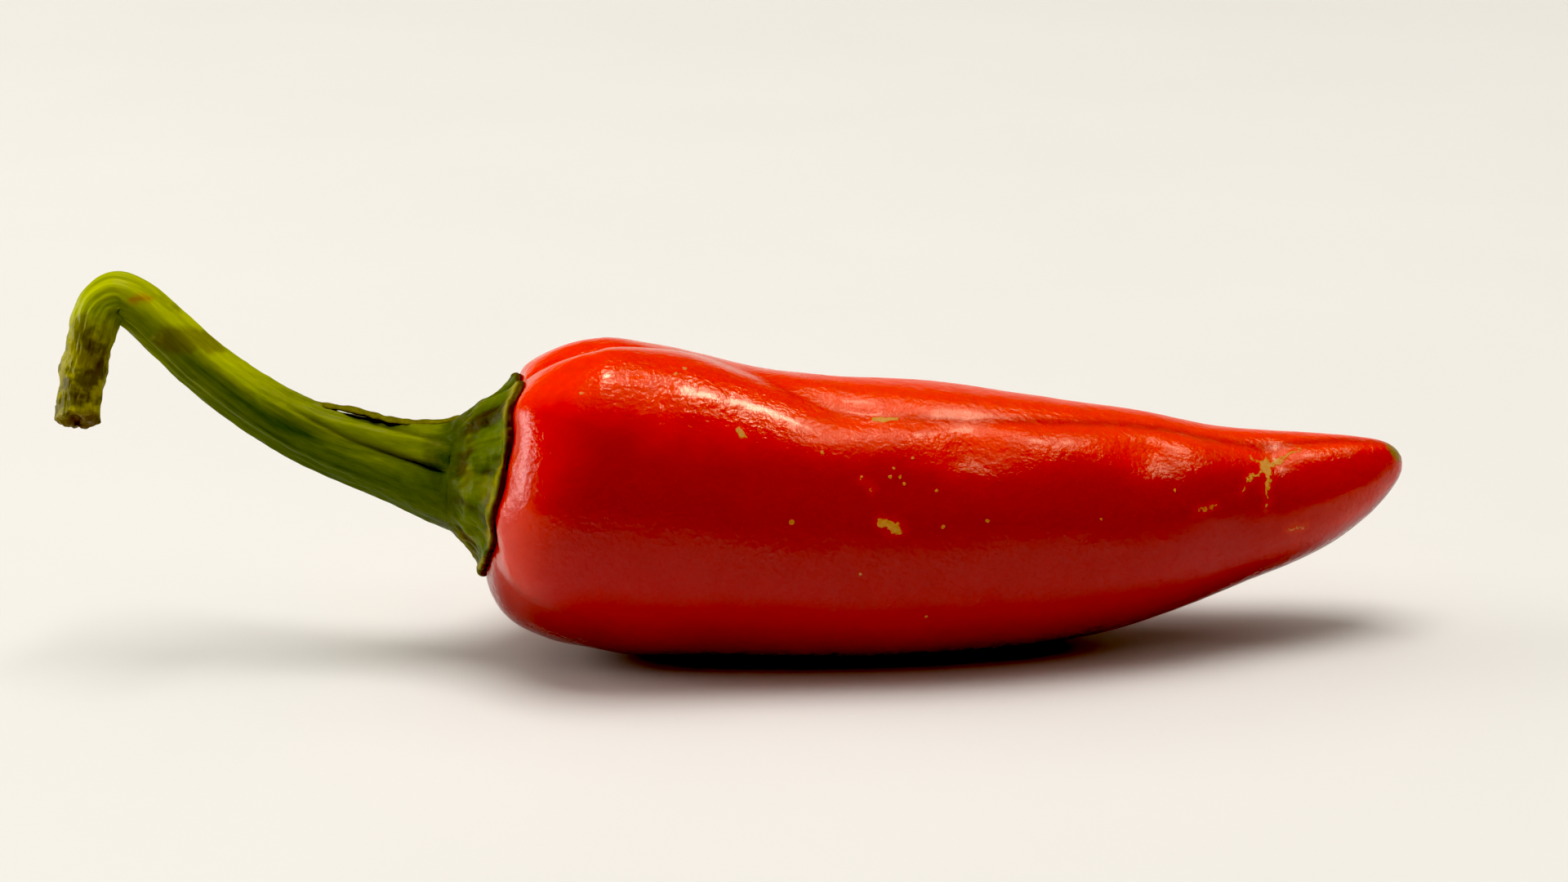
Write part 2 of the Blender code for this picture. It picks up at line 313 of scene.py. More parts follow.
class Wire:
    """One output of a shader's nodes. Arithmetic on wires and numbers adds the Math nodes for it."""

    def __init__(self, tree, socket=None):
        self.tree, self.socket = tree, socket

    def node(self, kind, settings, sockets, output=0):
        """Adds a node, its settings set first and then its sockets' values or wires."""
        made = self.tree.nodes.new(kind)
        for name, value in settings.items():
            setattr(made, name, value)
        for name, value in sockets.items():
            if isinstance(value, Wire):
                self.tree.links.new(value.socket, made.inputs[name])
            else:
                made.inputs[name].default_value = value
        return Wire(self.tree, made.outputs[output])

    def maths(self, operation, *values):
        return self.node("ShaderNodeMath", {"operation": operation}, dict(enumerate(values)))

    def vectors(self, operation, *values, output=0):
        return self.node("ShaderNodeVectorMath", {"operation": operation}, dict(enumerate(values)), output)

    def __add__(self, other):
        return self.maths("ADD", self, other)

    def __radd__(self, other):
        return self.maths("ADD", other, self)

    def __sub__(self, other):
        return self.maths("SUBTRACT", self, other)

    def __rsub__(self, other):
        return self.maths("SUBTRACT", other, self)

    def __mul__(self, other):
        return self.maths("MULTIPLY", self, other)

    def __rmul__(self, other):
        return self.maths("MULTIPLY", other, self)

    def step(self, start, end):
        """0 at start, rising smoothly to 1 at end."""
        settings = {"interpolation_type": "SMOOTHSTEP"}
        return self.node("ShaderNodeMapRange", settings, {0: self, 1: start, 2: end, 3: 0.0, 4: 1.0})

    def noise(self, size, detail=3.0, roughness=0.5, output=0):
        """Noise with features about size across, read at this place."""
        sockets = {"Vector": self, "Scale": 1 / size, "Detail": detail, "Roughness": roughness}
        return self.node("ShaderNodeTexNoise", {}, sockets, output)

    def part(self, axis):
        """One coordinate of this place."""
        return self.node("ShaderNodeSeparateXYZ", {}, {0: self}, axis)

    def tint(self, first, second):
        """The first colour where this is 0, the second where it is 1."""
        return self.node("ShaderNodeMix", {"data_type": "RGBA"}, {0: self, 6: first, 7: second}, 2)

    def bump(self, height, under=None):
        """The surface's normal with this as relief, height metres from 0 to 1."""
        sockets = {"Height": self, "Distance": height, "Strength": 1.0}
        if under is not None:
            sockets["Normal"] = under
        return self.node("ShaderNodeBump", {}, sockets)


def colour(red, green, blue):
    return (red, green, blue, 1.0)


def finish(name, constants):
    """A material with its constant values set, and a wire to build the rest of its nodes with."""
    made = bpy.data.materials.new(name)
    made.use_nodes = True
    shader = made.node_tree.nodes["Principled BSDF"]
    for socket, value in constants.items():
        shader.inputs[socket].default_value = value
    return made, shader, Wire(made.node_tree)


def feed(shader, wires):
    """Joins what varies over the surface to the shader."""
    for socket, wire in wires.items():
        wire.tree.links.new(wire.socket, shader.inputs[socket])


def skin_point(along_mm, degrees):
    """A place on the skin, from millimetres along and degrees round."""
    runs = np.linspace(SHOULDER_RUN, skin_run, 400)
    far, wide = blend(fruit_outline, runs).T
    at = np.array([along_mm / 1000])
    found = on_fruit(at, np.interp(at, far, wide), np.radians([float(degrees)]))[0] + seat_place
    return tuple(float(c) for c in found)


# Corky scars: (mm along, degrees round) from one end to the other, and half their width in mm
SCARS = [
    ((58.3, 47), (58.3, 40), 0.52), ((58.4, 47), (60.3, 54.6), 0.24), ((60.3, 54.6), (62.0, 60), 0.13),
    ((58.4, 46), (58.7, 56), 0.2), ((58.2, 42), (57.7, 26), 0.22), ((57.7, 26), (57.5, 14), 0.14),
    ((58.0, 42), (56.2, 32.5), 0.17), ((56.2, 32.5), (55.7, 26), 0.12), ((58.0, 47), (57.3, 54), 0.13),
    ((28.0, 15), (29.0, 13.5), 0.42), ((27.7, 63), (29.1, 64), 0.3), ((16.7, 48), (17.1, 47), 0.28),
    ((51.7, 16.7), (53.2, 17.9), 0.07), ((59.2, -9), (60.4, -13), 0.08), ((26.4, 32), (27.2, 28.4), 0.06),
]  # fmt: skip
# Flecks: mm along, degrees round, radius in mm
FLECKS = [
    (23.4, 43, 0.14), (26.4, 33.4, 0.13), (28.5, 33.6, 0.15), (28.8, 37.2, 0.13), (29.2, 33.7, 0.15),
    (29.5, 31, 0.14), (31.8, 28.6, 0.13), (30.2, 42, 0.1), (34.1, 38.8, 0.09), (21.3, 14.6, 0.2),
    (32.3, 14.4, 0.17), (35.5, 17, 0.16), (44.1, 16.7, 0.12), (12.1, 74.3, 0.2), (3.9, 54.5, 0.14),
    (50.1, 28.5, 0.12), (26.5, -5.2, 0.1), (31.6, -26.2, 0.12), (11.4, 70, 0.16), (15.5, 66, 0.1),
]  # fmt: skip

DEEP_RED = colour(0.47, 0.0022, 0.0003)
ORANGE_RED = colour(0.96, 0.050, 0.0008)
MOTTLE_RED = colour(0.34, 0.0008, 0.0003)
GROOVE_SHADE_RED = colour(0.38, 0.002, 0.0005)
PAINTED_BELLY_SHADE = colour(0.24, 0.001, 0.0004)
HALO_RED = colour(0.85, 0.05, 0.002)
TIP_GREEN = colour(0.24, 0.17, 0.006)
DARK_CORK = colour(0.46, 0.16, 0.02)
PALE_CORK = colour(0.80, 0.42, 0.10)
BLOTCH_SIZE = 0.009
MOTTLE_SIZE = 0.0016
CORK_GRAIN_SIZE = 0.0003
FINE_PEEL_SIZE, FINE_PEEL_HEIGHT = 0.00042, 0.00006
BROAD_PEEL_SIZE, BROAD_PEEL_HEIGHT = 0.0013, 0.00009
MARK_HEIGHT = 0.00004
WAXED_ROUGHNESS, DULL_ROUGHER, MARKS_ROUGHER = 0.19, 0.12, 0.35
WAX_COAT, DULL_COAT_LOSS = 0.28, 0.2
TIP_SPOT = (69.6, 50)  # mm along, degrees round

skin, skin_shader, wire = finish(
    "red_waxy_skin",
    {
        "IOR": 1.48,
        "Subsurface Weight": 0.35,
        "Subsurface Radius": (1.0, 0.12, 0.05),
        "Subsurface Scale": 0.004,
        "Coat Roughness": 0.12,
    },
)
place = wire.node("ShaderNodeTexCoord", {}, {}, "Object")


def shaken(place, size, reach):
    """The place moved about by noise, so that what is drawn from it has uneven edges."""
    noise_colour = place.noise(size, 2.0, 0.6, "Color")
    centred = place.vectors("SUBTRACT", noise_colour, (0.5, 0.5, 0.5))
    moved = place.node("ShaderNodeVectorMath", {"operation": "SCALE"}, {0: centred, "Scale": reach})
    return place.vectors("ADD", place, moved)


def beyond_line(place, start, end, half_width):
    """The distance from the edge of a rounded line between two points."""
    start, end = Vector(start), Vector(end)
    way = end - start
    from_start = place.vectors("SUBTRACT", place, tuple(start))
    along = place.vectors("DOT_PRODUCT", from_start, tuple(way / way.length_squared), output="Value")
    along = place.node("ShaderNodeClamp", {}, {0: along, 1: 0.0, 2: 1.0})
    nearest = place.node("ShaderNodeVectorMath", {"operation": "SCALE"}, {0: tuple(way), "Scale": along})
    return place.vectors("DISTANCE", from_start, nearest, output="Value") - half_width


# Each mark is where the distance from its edge falls below 0
ragged = shaken(shaken(place, 0.0009, 0.0011), 0.00025, 0.0003)
scar_edge = None
for start, end, half_width in SCARS:
    edge = beyond_line(ragged, skin_point(*start), skin_point(*end), half_width / 1000)
    scar_edge = edge if scar_edge is None else wire.maths("MINIMUM", scar_edge, edge)
wobbly = shaken(place, 0.0004, 0.00025)
fleck_edge = None
for along_mm, degrees, size in FLECKS:
    edge = wire.vectors("DISTANCE", wobbly, skin_point(along_mm, degrees), output="Value") - size / 1000
    fleck_edge = edge if fleck_edge is None else wire.maths("MINIMUM", fleck_edge, edge)
scar = 1 - scar_edge.step(-0.0001, 0.00006)
fleck = 1 - fleck_edge.step(-0.00005, 0.00005)
marks = wire.maths("MAXIMUM", scar, fleck * 0.8)
halo = (1 - scar_edge.step(0.0, 0.0007)) * 0.3

# Deep red in front, orange over the shoulder and tip; the orange top is painted light from above
blotches = place.noise(BLOTCH_SIZE, 3.0, 0.55)
mottle = place.noise(MOTTLE_SIZE, 4.0, 0.6)
skin_way = wire.node("ShaderNodeAttribute", {"attribute_name": "skin_place"}, {}, "Vector")
along_fruit = skin_way.part("Z")
up_skin = skin_way.part("Y") + (blotches - 0.5) * 0.35
# Painted light: the upper side is lit orange, as if by the lamp overhead
painted_top_light = up_skin.step(0.50, 0.95)
shoulder = 1 - (along_fruit + (blotches - 0.5) * 0.004).step(0.0005, 0.0065)
tip_end = (along_fruit + (blotches - 0.5) * 0.01).step(0.055, 0.068)
pale = wire.maths("MAXIMUM", painted_top_light, wire.maths("MAXIMUM", shoulder * 0.55, tip_end * 0.35))
red = pale.tint(DEEP_RED, ORANGE_RED)
red = ((mottle - 0.5) * 0.5 + 0.10).tint(red, MOTTLE_RED)
# Painted shade: the first groove is drawn as a darker red line, darker along the narrow half
groove_shade_mask = wire.node("ShaderNodeAttribute", {"attribute_name": "painted_groove_shade"}, {}, "Fac")
red = (groove_shade_mask * (along_fruit.step(0.018, 0.036) * 0.35 + 0.15)).tint(red, GROOVE_SHADE_RED)
# Painted shade: the underside is darker red, where little light reaches
red = (1 - up_skin.step(-0.95, -0.4)).tint(red, PAINTED_BELLY_SHADE)
from_tip_spot = wire.vectors("DISTANCE", ragged, skin_point(*TIP_SPOT), output="Value")
tip_spot = 1 - from_tip_spot.step(0.0005, 0.0013)
red = (tip_spot * 0.9).tint(red, TIP_GREEN)
red = halo.tint(red, HALO_RED)
red = marks.tint(red, place.noise(CORK_GRAIN_SIZE, 3.0, 0.6).tint(DARK_CORK, PALE_CORK))
# The wax is duller over the top of the narrow half, and worn off underneath
dull = (along_fruit + (blotches - 0.5) * 0.006).step(0.018, 0.026) * up_skin.step(0.0, 0.4)
roughness = (mottle - 0.5) * 0.2 + WAXED_ROUGHNESS + dull * DULL_ROUGHER + marks * MARKS_ROUGHER
coat = (WAX_COAT - dull * DULL_COAT_LOSS) * up_skin.step(-0.9, -0.4)
peel = place.noise(FINE_PEEL_SIZE, 3.0, 0.55).bump(FINE_PEEL_HEIGHT)
peel = place.noise(BROAD_PEEL_SIZE, 2.0, 0.5).bump(BROAD_PEEL_HEIGHT, peel)
peel = marks.bump(MARK_HEIGHT, peel)
feed(skin_shader, {"Base Color": red, "Roughness": roughness, "Coat Weight": coat, "Normal": peel})
fruit.data.materials.append(skin)
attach(fruit, "root")
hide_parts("fruit")

# Stem: the green stalk that the fruit hung from, ridged lengthwise by its fibres. It flares into
# the calyx, rises, and buckles over at its free end, which is wilted, wrinkled and torn off.

CALYX_DEPTH = 0.0037  # from the fruit to the neck, where the stem leaves the calyx
NECK_RADIUS = 0.00435
NECK_WAY = (-1, 0, -0.07)
STEM_LENGTH = 0.0415
STEM_RADIUS = 0.00205
STEM_SIDES, STEM_RINGS = 160, 520
STEM_ROOT = 0.0006  # how far the stem starts inside the calyx
MOST_BEND = 0.93  # of a bend's radius that a section may fill on the inner side
BEND_STEP = 0.0008  # along the stem, to find how sharply it bends
# The middle line from the neck to the free end, as shares of the stem's length
STEM_PATH = [
    (-0.087, 0.004, 0.017), (-0.162, 0.008, 0.038), (-0.237, 0.014, 0.062),
    (-0.312, 0.020, 0.098), (-0.386, 0.029, 0.143), (-0.460, 0.036, 0.200),
    (-0.519, 0.043, 0.255), (-0.577, 0.047, 0.309), (-0.613, 0.042, 0.326),
    (-0.639, 0.026, 0.308), (-0.652, 0.000, 0.267), (-0.664, -0.031, 0.211),
    (-0.671, -0.063, 0.159), (-0.671, -0.088, 0.117),
]  # fmt: skip
STEM_TAPER = [
    (0, 1.22), (0.24, 1.18), (0.35, 1.1), (0.5, 1.0), (0.68, 0.95), (0.85, 0.83),
    (0.95, 0.82), (1, 0.92),
]  # fmt: skip
STEM_FLARE = [(0, 1.0), (0.026, 0.75), (0.089, 0.40), (0.168, 0.15), (0.25, 0.02), (0.35, 0)]

seat, into = (a[0] for a in frame_along(fruit_spine, np.array([0.0])))
neck = seat + unit(np.array(NECK_WAY, float)) * CALYX_DEPTH
stalk = by_distance([seat, neck] + [neck + np.array(step) * STEM_LENGTH for step in STEM_PATH])


def stalk_frame(at):
    """Points along the stalk's middle line and the direction back towards the fruit."""
    point, outwards = frame_along(stalk, at)
    return point, -outwards


stem_start, stem_end = CALYX_DEPTH - STEM_ROOT, stalk[-1][0]


def stem_radius(at):
    """The stem's radius before its ribs and wrinkles, at distances from the fruit."""
    way = np.clip((at - CALYX_DEPTH) / (stem_end - CALYX_DEPTH), 0, 1)
    body = STEM_RADIUS * blend(STEM_TAPER, way)
    return body + (NECK_RADIUS - STEM_RADIUS * STEM_TAPER[0][1]) * blend(STEM_FLARE, way)


def out_from(centre, along, angle):
    """The directions out from a middle line, at angles round it."""
    side, up = section_axes(along)
    cos, sin = turned(angle)
    return side * cos + up * sin


stem_shell, share, angle, at_pole = closed_tube(STEM_SIDES, STEM_RINGS)
distance = stem_start + share * (stem_end - stem_start)
centre, along = stalk_frame(distance)
out = out_from(centre, along, angle)
radius = stem_radius(distance)
behind = np.maximum(distance - BEND_STEP, stem_start)
ahead = np.minimum(distance + BEND_STEP, stem_end)
turn = (stalk_frame(behind)[1] - stalk_frame(ahead)[1]) / (ahead - behind)[:, None]
inwards = dot(out, turn)[:, 0]
NEARLY_STRAIGHT = 1e-6  # bends less than this count as this, so nothing is divided by 0
pinch = np.clip(MOST_BEND / np.maximum(inwards * radius, NEARLY_STRAIGHT), 0, 1)
radius = radius * pinch
# The last of the rings close in over the torn end
END_SHARE = 0.965
END_ROUNDING = 0.0006  # how deep the rounded end is
closing = np.clip((share - END_SHARE) / (1 - END_SHARE), 0, 1)
distance = np.where(share > END_SHARE, stem_end - END_ROUNDING * np.sqrt(1 - closing), distance)
centre = np.where((share > END_SHARE)[:, None], stalk_frame(distance)[0], centre)
radius = radius * np.sqrt(1 - closing**2)
points = np.where(at_pole[:, None], centre, centre + out * radius[:, None])
normals = move_to(stem_shell, points)

# Lengthwise ribs that wander as they run, and cross wrinkles on the wilted end past the bend
RIB_HEIGHT = 0.00007
RIBS = [(7, 1.0, 60, 0), (12, 0.7, -84, 1), (19, 0.4, 0, 2)]  # number, height, drift per m, turn
FIBRE_HEIGHT = 0.00005
FIBRES_ROUND, FIBRES_ALONG = 2.2, 260  # how fast their noise changes round and along
WRINKLE_HEIGHT = 0.00014
WRINKLES_ALONG = 900
WRINKLE_SLANT = 1.6
SAG_HEIGHT, SAG_SIZE = 0.00022, 0.0028
WILT_START, WILT_FULL = 0.0335, 0.0375
NECK_BLEND = 0.0012  # over which the ribs rise from the smooth neck
ribs = sum(
    height * np.cos(number * angle + drift * distance + turn) for number, height, drift, turn in RIBS
)
round_way = np.stack([np.cos(angle), np.sin(angle), np.zeros_like(angle)], 1)
fibres = cloud(round_way * FIBRES_ROUND + np.outer(distance, (0, 0, FIBRES_ALONG)), 0.35, 5, 3)
wilt = blend([(0, 0), (WILT_START, 0), (WILT_FULL, 1), (stem_end, 1)], distance)
slant = distance * WRINKLES_ALONG + WRINKLE_SLANT * np.sin(angle - 0.6)
wrinkles = cloud(round_way + np.outer(slant, (0, 0, 1)), 1.1, 8, 2)
sags = cloud(points, SAG_SIZE, 14, 2)
off_calyx = np.clip((distance - CALYX_DEPTH) / NECK_BLEND, 0, 1)
fine = RIB_HEIGHT * ribs * (1 - 0.7 * wilt) + FIBRE_HEIGHT * fibres * (1 + wilt)
fine = off_calyx * fine + wilt * (WRINKLE_HEIGHT * wrinkles + SAG_HEIGHT * sags)

# A strip of rind that has lifted beside the calyx: a ridge with deep creases along both edges.
# Its way along is (distance, degrees round) and its rise (distance, share of the height)
STRIP = [(0.0036, 34), (0.0050, 39), (0.0075, 47), (0.0105, 55), (0.0140, 66), (0.0175, 76)]
STRIP_RISE = [(0.0036, 0), (0.0044, 0.9), (0.0060, 1), (0.0090, 0.7), (0.0140, 0.3), (0.0175, 0)]
STRIP_HEIGHT = 0.00048
STRIP_WIDTH = 0.0009
CREASE_DEPTH = 0.00036
# Its two creases: how far from its middle and how wide, as shares of its width, and how deep
STRIP_CREASES = [(-1.3, 0.32, 1.0), (1.4, 0.5, 0.8)]
from_strip = wrapped(angle - np.radians(blend(STRIP, distance))) * radius
rise = blend(STRIP_RISE, distance) * (distance > STRIP[0][0])
crease = sum(
    depth * hump((from_strip - middle * STRIP_WIDTH) / (width * STRIP_WIDTH))
    for middle, width, depth in STRIP_CREASES
)
fine += STRIP_HEIGHT * rise * hump(from_strip / STRIP_WIDTH) - CREASE_DEPTH * np.sqrt(rise) * crease
fine *= pinch**3 * (1 - closing)

# The torn end is uneven
TEAR_DEPTH, TEAR_REACH, TEAR_SIZE = 0.0007, 0.0014, 0.0013
torn = hump((stem_end - distance) / TEAR_REACH) * (distance > WILT_START)
tear = TEAR_DEPTH * torn * cloud(points, TEAR_SIZE, 21, 3)
points = points + normals * fine[:, None] - along * tear[:, None] + seat_place
move_to(stem_shell, points)
stem = piece_object("stem_stalk", stem_shell)
fibre_place = round_way * radius[:, None] + np.outer(distance, (0, 0, 1))
keep_on(stem, "fibre_place", "FLOAT_VECTOR", fibre_place)
keep_on(stem, "strip_crease", "FLOAT", np.clip(crease * np.sqrt(rise), 0, 1))
keep_on(stem, "strip_top", "FLOAT", np.clip(hump(from_strip / STRIP_WIDTH) * np.sqrt(rise), 0, 1))


def stem_point(along_mm, degrees):
    """A place on the stem's surface, from millimetres from the fruit and degrees round."""
    at = np.array([along_mm / 1000])
    centre, along = stalk_frame(at)
    found = centre + out_from(centre, along, np.radians([float(degrees)])) * stem_radius(at)[:, None]
    return tuple(float(c) for c in found[0] + seat_place)


SHADED_GREENS = colour(0.030, 0.052, 0.0006), colour(0.095, 0.130, 0.001)
LIT_YELLOW_GREENS = colour(0.22, 0.27, 0.0008), colour(0.60, 0.62, 0.002)
DRIED_GREENS = colour(0.095, 0.070, 0.0008), colour(0.34, 0.29, 0.0015)
STRIP_GREENS = colour(0.13, 0.16, 0.001), colour(0.34, 0.36, 0.004)
NECK_GREENS = colour(0.024, 0.033, 0.001), colour(0.09, 0.122, 0.0015)
CREASE_SHADE = colour(0.028, 0.018, 0.001)
TORN_BROWN = colour(0.07, 0.026, 0.004)
STEM_GRAIN_HEIGHT = 0.00012
# Bruises and scars: (mm from the fruit, degrees round), from one end to the other, half the
# width in mm, how strong, and the colour
BRUISES = [
    ((25.4, 75), (28.0, 5), 1.1, 0.6, colour(0.12, 0.085, 0.002)),
    ((29.0, 80), (30.4, 70), 0.35, 0.5, colour(0.07, 0.075, 0.002)),
    ((31.2, 45), (32.0, 20), 0.42, 0.85, colour(0.42, 0.17, 0.003)),
    ((36.5, 30), (39.5, -20), 0.9, 0.5, colour(0.05, 0.030, 0.001)),
    ((40.8, 40), (42.6, -10), 0.6, 0.5, colour(0.05, 0.030, 0.001)),
    ((28.6, 0), (28.9, -8), 0.15, 0.8, colour(0.60, 0.50, 0.25)),
    ((23.3, 52), (19.6, 28), 0.14, 0.6, colour(0.30, 0.42, 0.003)),
    ((5.6, 44), (3.6, 20), 0.9, 0.6, colour(0.045, 0.026, 0.001)),
]

stem_finish, stem_shader, wire = finish(
    "green_stalk",
    {
        "IOR": 1.45,
        "Subsurface Weight": 0.05,
        "Subsurface Radius": (0.5, 0.6, 0.1),
        "Subsurface Scale": 0.001,
    },
)
place = wire.node("ShaderNodeTexCoord", {}, {}, "Object")
fibre = wire.node("ShaderNodeAttribute", {"attribute_name": "fibre_place"}, {}, "Vector")
stretched = wire.vectors("MULTIPLY", fibre, (1.0, 1.0, 0.10))
along_stem = fibre.part("Z")
strands = stretched.noise(0.00042, 4.0, 0.65)
broad = stretched.noise(0.0016, 3.0, 0.5)
cloudy = place.noise(0.004, 3.0, 0.55)
# Yellower towards the free end, painted light over the top, and dried past the bend
young = (along_stem + (cloudy - 0.5) * 0.010).step(0.010, 0.033)
upper = (fibre.part("Y") + (broad - 0.5) * 0.0026 + (cloudy - 0.5) * 0.001).step(-0.0004, 0.0016)
# Painted light: the top of the stem is lighter and yellower, the underside a darker shaded green
lit_top_and_yellowing = upper * (young * 0.65 + 0.35) + young * young * 0.35
green = lit_top_and_yellowing.tint((strands * 1.6 - 0.3).tint(*SHADED_GREENS), (strands * 1.4 - 0.2).tint(*LIT_YELLOW_GREENS))
past_bend = (along_stem + (cloudy - 0.5) * 0.004).step(0.0345, 0.0385)
bands = place.noise(0.0016, 3.0, 0.6).step(0.36, 0.58)
green = (past_bend * 0.9).tint(green, bands.tint(*DRIED_GREENS))
wobbly = shaken(shaken(place, 0.0016, 0.0014), 0.0004, 0.0004)
for start_at, end_at, half_width, strength, stain in BRUISES:
    edge = beyond_line(wobbly, stem_point(*start_at), stem_point(*end_at), half_width / 1000)
    stained = (1 - edge.step(-0.0005, 0.0003)) * strength
    green = stained.tint(green, stain)
strip_crease = wire.node("ShaderNodeAttribute", {"attribute_name": "strip_crease"}, {}, "Fac")
strip_top = wire.node("ShaderNodeAttribute", {"attribute_name": "strip_top"}, {}, "Fac")
green = (strip_top * 0.6).tint(green, strands.tint(*STRIP_GREENS))
# Painted shade: the creases beside the lifted strip are darkened to a deep brown
green = (strip_crease * 0.75).tint(green, CREASE_SHADE)
by_calyx = 1 - (along_stem + (cloudy - 0.5) * 0.002).step(0.0038, 0.0068)


def neck_green(place):
    """The dull green of the neck, that the stem and the calyx share."""
    return (place.noise(0.0014, 4.0, 0.6) * 1.8 - 0.4).tint(*NECK_GREENS)


green = by_calyx.tint(green, neck_green(place))
torn_end = (along_stem + (cloudy - 0.5) * 0.001).step(0.0432, 0.0439)
green = (torn_end * 0.85).tint(green, TORN_BROWN)
grain = (strands * 0.6 + broad * 0.4).bump(STEM_GRAIN_HEIGHT)
feed(stem_shader, {"Base Color": green, "Roughness": strands * 0.25 + 0.36, "Normal": grain})
stem.data.materials.append(stem_finish)
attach(stem, "root")
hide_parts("stem")

# Loose strand: a dried thread of rind, peeled up from the top of the stem beside the calyx, and
# still joined to it at both ends.

STRAND_SIDES, STRAND_RINGS = 24, 140
STRAND_WIDTH = 0.00048
STRAND_BREADTH, STRAND_DEPTH = 1.5, 0.55  # shares of the width across and through
STRAND_END = 0.35  # how thick its ends are, as a share of its middle
STRAND_UNEVENNESS, STRAND_LUMP_SIZE = 0.35, 0.0012
# (mm from the fruit, degrees round, height over the stem in mm) along the strand
STRAND_WAY = [
    (17.2, 96, -0.30), (15.6, 97, -0.10), (14.2, 98, 0.16), (12.8, 98, 0.34), (11.2, 97, 0.28),
    (9.6, 96, 0.14), (8.0, 98, 0.10), (6.4, 102, 0.12), (4.8, 106, 0.12), (3.4, 108, -0.05),
    (2.6, 108, -0.4),
]  # fmt: skip

strand_keys = []
for along_mm, degrees, lift in STRAND_WAY:
    at = np.array([along_mm / 1000])
    centre, along = stalk_frame(at)
    out = out_from(centre, along, np.radians([float(degrees)]))
    strand_keys.append((centre + out * (stem_radius(at) + lift / 1000))[0])
strand_keys = by_distance(strand_keys)
strand_shell, share, angle, at_pole = closed_tube(STRAND_SIDES, STRAND_RINGS)
centre, along = frame_along(strand_keys, share * strand_keys[-1][0])
side, up = section_axes(along)
cos, sin = turned(angle)
fullness = np.sin(np.pi * np.clip(share, 0.02, 0.98)) ** 0.5
thick = STRAND_WIDTH * (STRAND_END + (1 - STRAND_END) * fullness)
thick = thick * (1 + STRAND_UNEVENNESS * cloud(centre, STRAND_LUMP_SIZE, 31, 2))
points = centre + (side * cos * STRAND_BREADTH + up * sin * STRAND_DEPTH) * thick[:, None]
points = np.where(at_pole[:, None], centre, points) + seat_place
move_to(strand_shell, points)
strand = piece_object("loose_strand", strand_shell)

OLIVES = colour(0.055, 0.040, 0.001), colour(0.26, 0.24, 0.003)
STREAK_SIZE, STREAK_HEIGHT = 0.0005, 0.00006

strand_finish, strand_shader, wire = finish("dried_rind", {"IOR": 1.45})
place = wire.node("ShaderNodeTexCoord", {}, {}, "Object")
streaks = place.noise(STREAK_SIZE, 4.0, 0.65)
olive = (streaks * 1.6 - 0.3).tint(*OLIVES)
grain = streaks.bump(STREAK_HEIGHT)
feed(strand_shader, {"Base Color": olive, "Roughness": streaks * 0.3 + 0.45, "Normal": grain})
strand.data.materials.append(strand_finish)
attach(strand, "root")

# Calyx: the green cap of fused sepals that held the flower, five ribs running out to low teeth.
# It grips the fruit's shoulder, thin and browned at the rim, and narrows into the stem.

CALYX_RADIUS = 0.00735
CALYX_SIDES, CALYX_RINGS = 320, 150
RIM_THICKNESS = 0.0006
CALYX_FLARE = [(0, 0), (0.1, 0.14), (0.3, 0.41), (0.57, 0.67), (0.87, 0.91), (1, 1)]
SKIN_GAP = 0.00004  # between the cap and the fruit's skin
SEPALS = 5
TOOTH_HEIGHT = 0.00022
RAGGED_EDGE = 0.00035
RIM_BULGE = 0.35  # how far the rim rounds outward, as a share of its thickness
# Shares of the way along: where the cap starts to follow the fruit, and where its rim and its
# underside start
GRIP_AT, RIM_AT, UNDER_AT = 0.25, 0.56, 0.62
OUTSIDE_FRUIT = 0.006  # where the search for the fruit's skin starts, out from the cap

calyx_shell, share, angle, at_pole = closed_tube(CALYX_SIDES, CALYX_RINGS)
neck_into = stalk_frame(np.array([CALYX_DEPTH]))[1][0]
cos, sin = turned(angle)
teeth = TOOTH_HEIGHT * np.cos(SEPALS * angle + 0.8)
round_way = np.stack([np.cos(angle), np.sin(angle), np.zeros_like(angle)], 1)
teeth += RAGGED_EDGE * (cloud(round_way, 0.30, 41, 2) + 0.5 * cloud(round_way, 0.09, 43, 2))
rim_radius = CALYX_RADIUS + teeth
outer = np.clip(share / RIM_AT, 0, 1)  # 0 at the neck, 1 at the rim
under = np.clip((share - UNDER_AT) / (1 - UNDER_AT), 0, 1)
rim_turn = np.clip((share - RIM_AT) / (UNDER_AT - RIM_AT), 0, 1) * math.pi
height = CALYX_DEPTH - outer * (CALYX_DEPTH - RIM_THICKNESS)
way_in = blend(CALYX_FLARE, (height - RIM_THICKNESS) / (CALYX_DEPTH - RIM_THICKNESS))
radius = rim_radius + (NECK_RADIUS - rim_radius) * way_in
radius = radius + np.sin(rim_turn) * RIM_THICKNESS * RIM_BULGE
radius = radius * (1 - under)
height = height - RIM_THICKNESS * (1 - np.cos(rim_turn)) / 2
way_out = np.clip(height / CALYX_DEPTH, 0, 1)[:, None]
centre = seat + (neck - seat) * way_out
axis = unit(into + (neck_into - into) * way_out)
side, up = section_axes(axis)
out = side * cos + up * sin
points = centre + out * radius[:, None] + seat_place
# The underside and the rim lie on the fruit's skin, a hair clear of it
for i in range(len(points)):
    if share[i] < GRIP_AT:
        continue
    outside = Vector(points[i] - axis[i] * OUTSIDE_FRUIT)
    skin_at = fruit_skin_tree.ray_cast(outside, Vector(axis[i]))[0]
    if skin_at is None:
        continue
    drop = dot(np.array(skin_at) - points[i], axis[i])[0]
    lie = RIM_THICKNESS * (1 + math.cos(rim_turn[i])) / 2
    grip = min((share[i] - GRIP_AT) / (RIM_AT - GRIP_AT), 1) ** 2
    points[i] += axis[i] * (drop - lie - SKIN_GAP) * grip
normals = move_to(calyx_shell, points)
